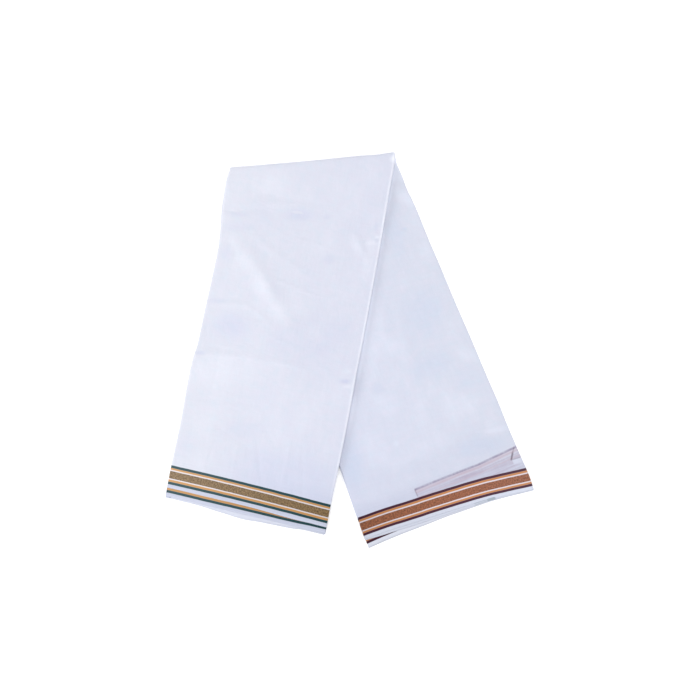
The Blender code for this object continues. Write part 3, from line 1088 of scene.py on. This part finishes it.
@dataclass(frozen=True)
class Cotton:
    """Plain-woven cotton with a woven border along its selvedge."""

    name: str
    border: Border
    body: Colour
    body_right: Colour
    # darker and bluer where the sheet clings, and the painted shade in creases and beside the fold
    cling_and_painted_shade: Colour
    margin: Colour
    margin_line: Colour
    dusk: Colour  # near the border
    dusk_across: Pair  # millimetres across the cloth, between which the dusk sets in
    mottle: float  # how cloudy the tone is
    lit: Colour = WHITEST
    light_fall_off: float = 0.0  # painted light: how much brighter the left edge is than the right one, as the light falls off across the strip
    tilt: float = 0.0  # how much darker the border's left end is than its right one
    margin_tilt: float = 0.0  # the same for the margin
    arch: float = 0.0  # how much brighter the border's middle is
    dim: float = 0.0  # how much darker the whole border is, partly painted shade under the sheet above and partly darker yarns
    haze: Pair = (0.0, 0.0)  # how faint the border's yarns are at its left and right ends
    rim: float = 0.0  # a painted highlight: how much brighter the selvedge's own edge is
    painted_shade_under_hem: float = 0.0  # painted shade: how much darker the margin grows towards the hem of the sheet above it
    ghost: Ghost | None = None

    def material(self) -> bpy.types.Material:
        """Builds the material.

        Returns:
            The material.
        """
        tree = ClothTree(self.name)
        margin = 1 - tree.inward.step(*MARGIN_EDGE)
        band_low, band_high = self.border.value.edges[3:5]
        band = tree.inward.between(band_low, band_high, STRIPE_SOFT)
        ribs = tree.across.ripples(RIBS)
        speckle = tree.noise(tree.place, Grain.SPECKLE)
        rims = tree.inward.between(band_low, band_low + BAND_RIM, 0.3)
        rims = rims + tree.inward.between(band_high - BAND_RIM, band_high, 0.3)
        shade = self.shade(tree, margin) + band * (ribs * 0.08 + speckle * 0.90) - rims * 0.14
        threads = tree.across.ripples(WARP) * tree.inward.ripples(WEFT) * 0.10 + tree.threads * 0.18
        height = threads + tree.noise(tree.place, Grain.CRUMPLE) * 1.2 + band * ribs * 0.25
        bump = {"Strength": 1.0, "Distance": 0.20 * MM, "Height": height}
        return tree.finish(
            {
                "Base Color": tree.scaled(self.yarns(tree, self.ground(tree), margin), shade),
                "Roughness": ROUGHNESS - band * 0.22,
                "Sheen Weight": 0.08,
                "Sheen Roughness": 0.5,
                "Specular IOR Level": 0.2,
                "Normal": tree.node("ShaderNodeBump", {}, bump),
            }
        )

    def ground(self, tree: ClothTree) -> Value:
        """The plain cotton's colour.

        Args:
            tree: The material's tree.

        Returns:
            The colour, with what shows through it.
        """
        across, inward = tree.across, tree.inward
        tone = tree.node("ShaderNodeAttribute", {"attribute_name": TONE}, {}, "Fac")
        tone = tone + tree.noise(tree.place, Grain.CLOUDS) * self.mottle
        colour = tree.mix(across / STRIP_WIDTH, self.body, self.body_right)
        # below 0 the tone mixes in cling and painted shade, above 0 painted light
        colour = tree.mix((tone * -1.0).capped(), colour, self.cling_and_painted_shade)
        colour = tree.mix(tone.capped(), colour, self.lit)
        hue = tree.noise(tree.place, Grain.HUE) * 0.30
        colour = tree.mix(hue.capped(), colour, LAVENDER)
        colour = tree.mix((hue * -1.0).capped(), colour, PALE_CYAN)
        dusk = 0.62 - inward.step(36, 64) * 0.40 - inward.step(60, 150) * 0.22
        colour = tree.mix(dusk * across.step(*self.dusk_across), colour, self.dusk)
        return self.ghost.seen_through(tree, colour) if self.ghost else colour

    def yarns(self, tree: ClothTree, colour: Value, margin: Value) -> Value:
        """Lays the plain margin and the border's stripes over the cotton's colour.

        Args:
            tree: The material's tree.
            colour: The plain cotton's colour.
            margin: 1 in the margin beyond the border.

        Returns:
            The colour of the whole cloth.
        """
        plain = tree.mix((tree.lines * 0.7 + 0.35).capped(), self.margin, self.margin_line)
        colour = tree.mix(margin, colour, plain)
        if self.ghost:
            colour = self.ghost.drawn(tree, colour, self.ghost.green, GREENISH)
        left, right = self.haze
        cover = 1 - left - tree.across * ((right - left) / STRIP_WIDTH)
        for low, high, yarn in self.border.value.stripes():
            colour = tree.mix(tree.inward.between(low, high, STRIPE_SOFT) * cover, colour, yarn)
        return colour

    def shade(self, tree: ClothTree, margin: Value) -> Value:
        """How bright the cloth is, beside its colour: the threads' unevenness, a painted light fall-off
        across the strip, a painted highlight at the selvedge, painted shade under the hem above, and the
        border's brightness along its length.

        Args:
            tree: The material's tree.
            margin: 1 in the margin beyond the border.

        Returns:
            A factor about 1.
        """
        inward, lines, edges = tree.inward, tree.lines, self.border.value.edges
        near_hem = 1 - inward.step(35, 75)
        shade = 1.0 + tree.threads * 0.012 + tree.slubs * 0.014 + lines * near_hem * 0.022
        from_middle = 0.5 - tree.across / STRIP_WIDTH
        shade = shade + from_middle * self.light_fall_off - margin * from_middle * self.margin_tilt
        shade = shade + (1 - inward.step(*SELVEDGE)) * self.rim - margin * inward.step(1.5, 6.0) * self.painted_shade_under_hem
        border = inward.between(edges[0], edges[-1], STRIPE_SOFT)
        arched = (1 - from_middle * from_middle * 9.0) * self.arch
        return shade + border * (arched - self.dim - from_middle * self.tilt)


GREEN_COTTON = Cotton(
    name="cotton_green_border",
    border=Border.GREEN,
    body=linear(227, 229, 240),
    body_right=linear(228, 230, 245),
    cling_and_painted_shade=linear(205, 210, 238),
    margin=linear(208, 212, 230),
    margin_line=linear(192, 197, 217),
    dusk=linear(202, 208, 230),
    dusk_across=(10, 240),
    mottle=0.16,
    light_fall_off=0.06,
    tilt=-0.24,
    margin_tilt=-0.06,
    haze=(0.06, 0.0),
    rim=0.06,
)
# its border is darker, partly painted shade under the top sheet's hem
GREEN_SECOND = replace(GREEN_COTTON, name="cotton_green_second", dim=0.08)
GREEN_INSIDE = replace(
    GREEN_COTTON,
    name="cotton_green_inside",
    margin=linear(226, 229, 243),
    margin_line=linear(213, 217, 234),
    rim=0.0,
    painted_shade_under_hem=0.12,
)
MAROON_COTTON = Cotton(
    name="cotton_maroon_border",
    border=Border.MAROON,
    body=linear(222, 225, 242),
    body_right=linear(222, 225, 239),
    cling_and_painted_shade=linear(203, 216, 239),
    margin=linear(218, 222, 236),
    margin_line=linear(209, 214, 230),
    dusk=linear(198, 202, 222),
    dusk_across=(-300, -100),
    mottle=0.24,
    lit=WHITEST_BACK,
    tilt=0.25,
    margin_tilt=0.16,
    arch=0.05,
    haze=(0.0, 0.04),
    rim=0.03,
    ghost=Ghost(),
)
MAROON_INSIDE = replace(
    MAROON_COTTON,
    name="cotton_maroon_inside",
    margin=linear(230, 233, 245),
    margin_line=linear(221, 225, 239),
    rim=0.0,
)


# ---------------------------------------------------------------- one leaf's cloth
class Ply(NamedTuple):
    """One piece of a leaf: its name, the solid that it replaces and its slot."""

    piece: str
    solid: str
    slot: str


PLIES = (
    Ply("top_sheet", "top_layer", "white_cotton"),
    Ply("second_sheet", "second_layer", "white_cotton"),
    Ply("inner_sheets", "inner_layers", "white_cotton_inside"),
)
LEFT_TAIL = np.linspace(0.03, 0, 3)  # the columns of a sheet that ends just beyond a fold
RIGHT_TAIL = np.linspace(1, 0.97, 3)
FOLD_MOUTH = 0.031  # where a sheet begins that has its first edge inside a fold
LOOSE_END = 0.965  # where one stops that has its other edge inside a fold
BORDER_SHARE = 0.12  # the share of a leaf whose rows lie closer together, for its border


def runs(count: int) -> tuple[np.ndarray, ...]:
    """Returns even columns over a whole layer, from a fold's mouth on, and up to a loose end."""
    return tuple(np.linspace(start, end, count) for start, end in ((0, 1), (FOLD_MOUTH, 1), (0, LOOSE_END)))


@dataclass
class LeafCloth:
    """One leaf's cloth: the top sheet, the second sheet and the layers inside."""

    leaf: Leaf
    cottons: tuple[Cotton, Cotton, Cotton]
    lies_on: tuple[str, ...]
    top_columns: int
    top_rows: int
    second_columns: int
    inner_columns: int
    border_rows: int
    body_rows: int

    def coarse_rows(self) -> np.ndarray:
        """Returns the rows of the second sheet and the inner ones."""
        near = np.linspace(0, BORDER_SHARE, self.border_rows)[:-1]
        return np.concatenate((near, np.linspace(BORDER_SHARE, 1, self.body_rows)))

    def sheets(self) -> list[tuple[SheetMaker, list[Columns]]]:
        """Returns what lays each of the three pieces, and its sheets' columns."""
        raise NotImplementedError

    def build(self) -> list[CutPiece]:
        """Builds the leaf's pieces, and returns them from the top one down."""
        made = zip(PLIES, self.sheets())
        return [cut_piece(f"{self.leaf.side.value}_{ply.piece}", *sheet) for ply, sheet in made]

    def dress(self, pieces: Sequence[CutPiece]) -> None:
        """Args:
            pieces: What build returned.
        """
        materials = {cotton: cotton.material() for cotton in dict.fromkeys(self.cottons)}
        below = [*([cut.piece] for cut in pieces[1:]), list(self.lies_on)]
        for (piece, flat), ply, cotton, rests_on in zip(pieces, PLIES, self.cottons, below):
            piece.data.materials.append(materials[cotton])
            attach(piece, "root")
            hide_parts(f"{self.leaf.side.value}_{ply.solid}")


# ---------------------------------------------------------------- the front leaf
FRONT_CREASES = rows_of(
    Crease,
    # long ridges on the left, with a fine line beside them
    (-168, 163, -123, 96, 15, 1.4, 0.16), (-139, 116, -86, 31, 14, 1.1, 0.16),
    (-155, 182, -57, 113, 6, 0.6, 0.05, 2), (-119, 113, -48, 82, 2.2, 0.4),
    # the trough across the top
    (-195, 219, -36, 211, 8.2, -0.6, 0.05), (-197, 217, -165, 216, 4.6, -0.5), (-88, 209, -60, 205, 7, -0.2),
    # a short ridge and two pinches by the fold
    (9, 176, 29, 142, 5, 1, 0.05), (34, 186, 49, 183, 1.5, -0.4), (35, 173, 47, 174, 1.4, 0.4),
    # lines that run in from the left edge
    (-219, 73, -163, 73, 4.2, 0.6), (-163, 73, -125, 46, 4.2, 0.6), (-235, -4, -149, -10, 5.5, 1.1, -0.3),
    (-155, -10, -69, -26, 5, 0.9, -0.3), (-235, -1, -223, -4, 2.2, -0.7), (-249, -72, -149, -81, 2.6, -0.4),
    # pinches in the fold, lower down
    (-13, -47, 1, -47, 1.9, -0.8), (-14, -40, 3, -38, 1.6, 0.5), (-13, -57, 1, -57, 1.6, 0.5),
    (-20, -83, 4, -70, 2, 0.4),
    # streaks above the border
    (-182, -199, -171, -138, 2.6, 0.3), (-134, -209, -142, -141, 3, -0.4), (-103, -212, -89, -138, 3, 0.4),
    (-71, -224, -72, -153, 2.6, -0.3), (-222, -184, -208, -138, 2.8, -0.3),
    # wrinkles and dips
    (-36, 8, 1, -24, 2.4, 0.3), (-42, 43, -6, 19, 2.4, 0.3), (-42, 136, -6, 136, 2.5, 0.3),
    (-160, 249, -29, 223, 6, -0.5, 0, 3), (12, 209, 34, 197, 3, -0.4), (-76, -115, -6, -69, 6, 0.5),
    (-206, -115, -152, -153, 4, -0.4),
    # thin lines
    (-134, 197, -76, 166, 2.6, 0.3), (-82, 173, -23, 153, 2.2, 0.4), (-180, 51, -131, 42, 2.4, 0.4),
    (-134, 31, -85, 5, 3, 0.4), (-76, 0, -26, -37, 3, 0.3), (-223, 13, -134, -1, 3.2, 0.4),
    (-134, -113, -112, -149, 3, -0.3), (-79, -110, -14, -90, 3, 0.3), (-174, 222, -88, 226, 3.5, 0.4),
    (-195, 191, -134, 194, 4, -0.4),
)
FRONT_PATCHES = rows_of(
    Patch,
    # pale places, and darker bluer ones, with painted shade in the trough across the top
    (-122, 253, 31, 18.4, -8, 0.1), (-194, 246, 9, 33.8, 0, 0.12), (-209, -35, 42, 32.3, 0, 0.2),
    (-76, 209, 20, 9.2, -4, -0.34), (-31, 139, 9, 7.7, 0, -0.26), (-34, 205, 6, 3.8, 0, -0.22),
    # painted shade beside the long ridges
    (-186, 39, 31, 18.4, 0, -0.18), (-68, 20, 71, 36.9, 0, -0.15), (-189, 151, 11, 12.3, 0, -0.25),
    (-174, 191, 25, 9.2, 0, -0.18),
    # blue places above the border
    (-76, -196, 68, 33.8, -14, -0.26), (-149, -178, 52, 40, 0, -0.14),
    # light on the ridges
    (-142, 110, 42, 13.8, -57, 0.25), (-105, 56, 22, 12.3, -57, 0.2), (12, 165, 9, 15.4, 25, 0.14),
    # marks by the fold and the left edge, mostly painted shade in grooves and kinks
    (-14, 28, 25, 18.4, 0, -0.08), (-6, -47, 9, 3.7, 0, -0.4), (-231, -3, 9, 3.4, 0, -0.4),
    (-208, 77, 15, 4.6, 0, -0.22), (-29, -84, 25, 24.6, 0, 0.07), (-235, -123, 25, 46.1, 0, 0.12),
    (-42, 0, 14, 9.2, 0, -0.12), (-172, 209, 14, 4, 0, -0.25), (-119, 102, 28, 6.9, -55, -0.08),
    (31, 136, 8, 30.7, -10, 0.15),
    # painted light and shade on the pinches in the fold
    (43, 189, 3, 7.7, 0, -0.22), (45, 174, 4, 2.6, 0, 0.32), (35, 165, 9, 3.4, 0, 0.24),
    (44, 169, 4, 2.5, 0, -0.24), (-2, -32, 9, 4.6, 0, 0.16), (-3, -48, 7, 2.6, 0, -0.28),
    (-1, -55, 7, 2.5, 0, 0.22),
    # more dark places, and painted light over the shadow in the corner at the turn
    (-155, 117, 14, 15.4, 0, -0.16), (-182, 39, 25, 23.1, 0, -0.13), (-168, -123, 40, 15.4, 0, -0.16),
    (-245, -147, 18, 21.5, 0, -0.16), (-57, 28, 18, 12.3, 0, 0.12), (-186, 219, 12, 9.2, 0, -0.12),
    (70, 294, 6, 4.6, 0, 0.6),
)


@dataclass
class FrontLeafCloth(LeafCloth):
    """The front leaf and the turn."""

    leaf: Leaf = FRONT_LEAF
    cottons: tuple[Cotton, Cotton, Cotton] = (GREEN_COTTON, GREEN_SECOND, GREEN_INSIDE)
    lies_on: tuple[str, ...] = ("back_top_layer",)
    top_columns: int = 150
    top_rows: int = 205
    second_columns: int = 56
    inner_columns: int = 40
    border_rows: int = 30
    body_rows: int = 38
    top_turn_rows: int = 14
    turn_rows: int = 8

    def sheets(self) -> list[tuple[SheetMaker, list[Columns]]]:
        """Plans the leaf's sheets.

        Returns:
            What lays each of the three pieces, and its sheets' columns.
        """
        deeper = [FRONT_INNER_HEM.plus(-0.9 * k) for k in range(LAYERS - 3)]
        hems = [FRONT_TOP_HEM, FRONT_SECOND_HEM, FRONT_INNER_HEM.plus(-1.5), *deeper]
        rows = spaced(self.top_rows, (0.0, 0.05, 1.5), (0.62, 0.03, 2.0), (0.22, 0.03, 2.0))
        coarse, turn = self.coarse_rows(), self.turn_rows
        creased = SheetMaker(self.leaf, hems, rows, self.top_turn_rows, seed=3, rims=1.0)
        creased = replace(creased, margin=FRONT_TOP_MARGIN, creases=FRONT_CREASES, patches=FRONT_PATCHES)
        inset = fold_radius(0, 3) + FOLD_GAP
        full, mouth, loose = runs(self.inner_columns)

        top = Columns(inset).run(3, LEFT_TAIL).fold(0, 8)
        top.run(0, spaced(self.top_columns, (0.0, 0.04, 1.6), (1.0, 0.08, 2.0)), shown=1.0)
        top.fold(7, 10).run(7, RIGHT_TAIL)
        second = Columns(inset).run(2, LEFT_TAIL).fold(1, 6).run(1, np.linspace(0, 1, self.second_columns))
        second.fold(6, 8).run(6, RIGHT_TAIL)
        inner = Columns(inset).run(2, mouth).fold(5, 7).run(5, full[::-1]).fold(4, 6).run(4, full)
        inner.fold(3, 6).run(3, mouth[::-1])
        sixth = Columns(0.4 * MM).run(6, loose, loose_end=1.4 * MM)
        seventh = Columns(0.9 * MM).run(7, loose, loose_end=1.2 * MM)
        folded = [inner, sixth, seventh]
        return [
            (creased, [top]),
            (SheetMaker(self.leaf, hems, coarse, turn, seed=4, margin=FRONT_SECOND_MARGIN), [second]),
            (SheetMaker(self.leaf, hems, coarse, turn, seed=6, margin=FRONT_INNER_MARGIN), folded),
        ]


# ---------------------------------------------------------------- the back leaf
BACK_CREASES = rows_of(
    Crease,
    # crinkles
    (95, -10, 126, -3, 1.8, 0.5), (104, -23, 137, -12, 1.8, 0.6), (120, -27, 160, -18, 1.8, 0.6),
    (106, 136, 127, 143, 1.8, 0.6), (110, 108, 124, 108, 1.8, 0.3),
    # the light band low on the right
    (213, -130, 253, -115, 3.6, 0.6), (186, -107, 243, -83, 5, 0.5),
    # lines above the border, flecks and kinks
    (20, -246, 140, -206, 2.4, -0.4), (83, 189, 90, 188, 1.4, -0.5), (86, 223, 103, 223, 3, -0.5),
    # long folds and dips
    (72, 90, 127, -156, 9, 0.5), (38, -58, 81, -52, 6, -0.5), (158, -127, 232, -127, 3, -0.4),
    (38, -83, 60, -95, 2, 0.4), (32, -113, 51, -124, 2, -0.3), (78, -184, 149, -156, 7, 0.5),
    (140, 77, 174, 16, 7, 0.5),
)
BACK_PATCHES = rows_of(
    Patch,
    # pale places
    (92, 237, 23, 10.8, -20, 0.16), (57, 13, 28, 33.8, 0, 0.1), (174, -3, 20, 13.8, -30, 0.12),
    (78, -92, 46, 21.5, 0, 0.08), (186, -76, 18, 21.5, 0, 0.1),
    # darker bluer places where the sheet clings, and painted shade below the light band low on the right
    (117, 59, 31, 40, 0, -0.28), (72, 176, 14, 33.8, 15, -0.2), (201, -146, 43, 13.8, 12, -0.36),
    (44, -58, 11, 7.7, 0, -0.36),
    # marks: a painted highlight on the light band, painted shade by the front leaf's edge low down, and
    # flecks
    (232, -120, 22, 4.6, 15, 0.2), (72, -143, 5, 4.6, 0, 0.2), (4, -176, 18, 36.9, 0, -0.38),
    (127, -23, 34, 18.4, 15, -0.22), (87, 188, 4, 1.5, 0, -0.55), (258, -170, 17, 4.6, 18, 0.22),
    (186, -38, 22, 30.7, -60, -0.15),
    # painted light and painted shadow along the front leaf's fold
    (28, 59, 354, 6.5, 80, 0.5), (52, 197, 15, 7.7, 80, -0.14), (43, 145, 22, 7.7, 80, -0.14),
    (9, -58, 18, 9.2, 80, -0.28), (-8, -150, 31, 6.1, 80, -0.24), (63, 43, 12, 21.5, 0, -0.2),
    (66, 123, 9, 15.4, 0, -0.1),
    # above the border, and painted light and shade along the fold by the turn, over its shadow
    (94, -181, 17, 10.8, 18, -0.16), (74, 274, 12, 21.5, 75, 0.34), (51, 185, 115, 2.5, 80, 0.36),
    (70, 294, 6, 4.6, 0, 0.6), (8, -58, 131, 2.8, 80, -0.08), (65, 257, 46, 3.4, 80, 0.3),
    (124, 156, 14, 18.4, 0, 0.14),
)


@dataclass
class BackLeafCloth(LeafCloth):
    """The back leaf, flat on the surface."""

    leaf: Leaf = BACK_LEAF
    cottons: tuple[Cotton, Cotton, Cotton] = (MAROON_COTTON, MAROON_COTTON, MAROON_INSIDE)
    lies_on: tuple[str, ...] = ()
    top_columns: int = 130
    top_rows: int = 190
    second_columns: int = 50
    inner_columns: int = 34
    border_rows: int = 26
    body_rows: int = 30

    def sheets(self) -> list[tuple[SheetMaker, list[Columns]]]:
        """Plans the leaf's sheets.

        Returns:
            What lays each of the three pieces, and its sheets' columns.
        """
        deeper = [BACK_INNER_HEM.plus(-0.5 * k) for k in range(LAYERS - 3)]
        hems = [Curve(), BACK_SECOND_HEM, BACK_INNER_HEM.plus(-1.0), *deeper]
        rows, coarse = spaced(self.top_rows, (0.0, 0.05, 1.5)), self.coarse_rows()
        creased = SheetMaker(self.leaf, hems, rows, 0, seed=23, creases=BACK_CREASES, patches=BACK_PATCHES)
        inset = fold_radius(4, 7) + FOLD_GAP
        full, mouth, loose = runs(self.inner_columns)

        places = spaced(self.top_columns, (0.0, 0.03, 1.4), (1.0, 0.05, 1.6))
        top = Columns(0.5 * MM).run(0, places, shown=1.0, loose_end=0.8 * MM).fold(7, 10).run(7, RIGHT_TAIL)
        second = Columns(-0.6 * MM).run(1, np.linspace(0, 1, self.second_columns), loose_end=0.8 * MM)
        second.fold(6, 8).run(6, RIGHT_TAIL)
        inner = Columns(0.9 * MM).run(5, mouth).fold(2, 7).run(2, full[::-1]).fold(3, 6).run(3, full)
        inner.fold(4, 6).run(4, mouth[::-1])
        outer_fold = Columns(inset).run(4, LEFT_TAIL).fold(7, 8).run(7, loose)
        inner_fold = Columns(inset).run(5, LEFT_TAIL).fold(6, 6).run(6, loose)
        folded = [inner, outer_fold, inner_fold]
        return [
            (creased, [top]),
            (SheetMaker(self.leaf, hems, coarse, 0, seed=24), [second]),
            (SheetMaker(self.leaf, hems, coarse, 0, seed=26, margin=BACK_INNER_MARGIN), folded),
        ]


# ---------------------------------------------------------------- the studio
@dataclass
class Studio:
    """The pale floor, the soft lights and the camera straight above."""

    camera_height: float = 2.546
    lens: float = 85.0
    aim: Pair = (0.00055, 0.00114)
    floor_half: float = 6.0
    floor_drop: float = 0.2 * MM  # so that the floor and the cloth's underside don't share a plane
    floor_white: float = 0.92
    floor_glow: float = 0.15
    sky: Colour = (0.97, 0.98, 1.0)
    sky_strength: float = 0.75

    def camera(self) -> None:
        """Makes the camera, looking straight down."""
        data = bpy.data.cameras.new("camera")
        data.lens, data.sensor_width, data.clip_end = self.lens, 36.0, 20.0
        camera = in_scene("camera", data)
        camera.location = (*self.aim, self.camera_height)
        bpy.context.scene.camera = camera

    def floor(self) -> None:
        """Makes the floor that the cloth lies on."""
        half, white = self.floor_half, (1.0, 1.0, 1.0, 1.0)
        mesh = bpy.data.meshes.new("floor")
        corners = [(-half, -half, 0), (half, -half, 0), (half, half, 0), (-half, half, 0)]
        mesh.from_pydata(corners, [], [(0, 1, 2, 3)])
        floor = in_scene("floor", mesh)
        floor.location.z = -self.floor_drop
        finish = {
            "Base Color": (*[self.floor_white] * 3, 1.0),
            "Roughness": 0.9,
            "Specular IOR Level": 0.1,
            "Emission Color": white,
            "Emission Strength": self.floor_glow,
        }
        mesh.materials.append(Tree("pale_floor").finish(finish))

    def lamp(self, name: str, place: tuple[float, float, float], size: Pair, watts: float) -> None:
        """Makes one soft light aimed at the cloth.

        Args:
            name: The light's name.
            place: Where it stands.
            size: Its width and height.
            watts: Its power.
        """
        data = bpy.data.lights.new(name, "AREA")
        data.shape = "RECTANGLE"
        data.size, data.size_y = size
        data.energy = watts
        light = in_scene(name, data)
        light.location = place
        x, y, z = place
        light.rotation_euler = (math.atan2(math.hypot(x, y), z), 0.0, math.atan2(y, x) + math.pi / 2)

    def light(self) -> None:
        """Sets the lights and the even light from all round."""
        self.lamp("soft_box_left", (-2.3, -1.2, 0.95), (1.5, 0.9), 37.0)
        self.lamp("soft_box_right", (2.1, -0.2, 1.5), (1.6, 1.1), 10.0)
        self.lamp("soft_box_above", (0.0, 0.55, 3.4), (2.8, 2.8), 49.5)
        world = bpy.data.worlds.new("studio")
        world.use_nodes = True
        background = world.node_tree.nodes["Background"]
        background.inputs["Color"].default_value = (*self.sky, 1.0)
        background.inputs["Strength"].default_value = self.sky_strength
        bpy.context.scene.world = world
        bpy.context.scene.view_settings.view_transform = "Standard"


def main() -> None:
    """Builds the studio and the cloth."""
    logging.basicConfig(level=logging.INFO, format="%(message)s")
    studio = Studio()
    studio.camera()
    studio.floor()
    studio.light()
    for cloth in (BackLeafCloth(), FrontLeafCloth()):
        pieces = cloth.build()
        cloth.dress(pieces)
        for piece, flat in pieces:
            LOG.info("%s: %d faces, cut %.3f x %.3f m", piece.name, len(piece.data.polygons), *flat)


if __name__ == "__main__":
    main()
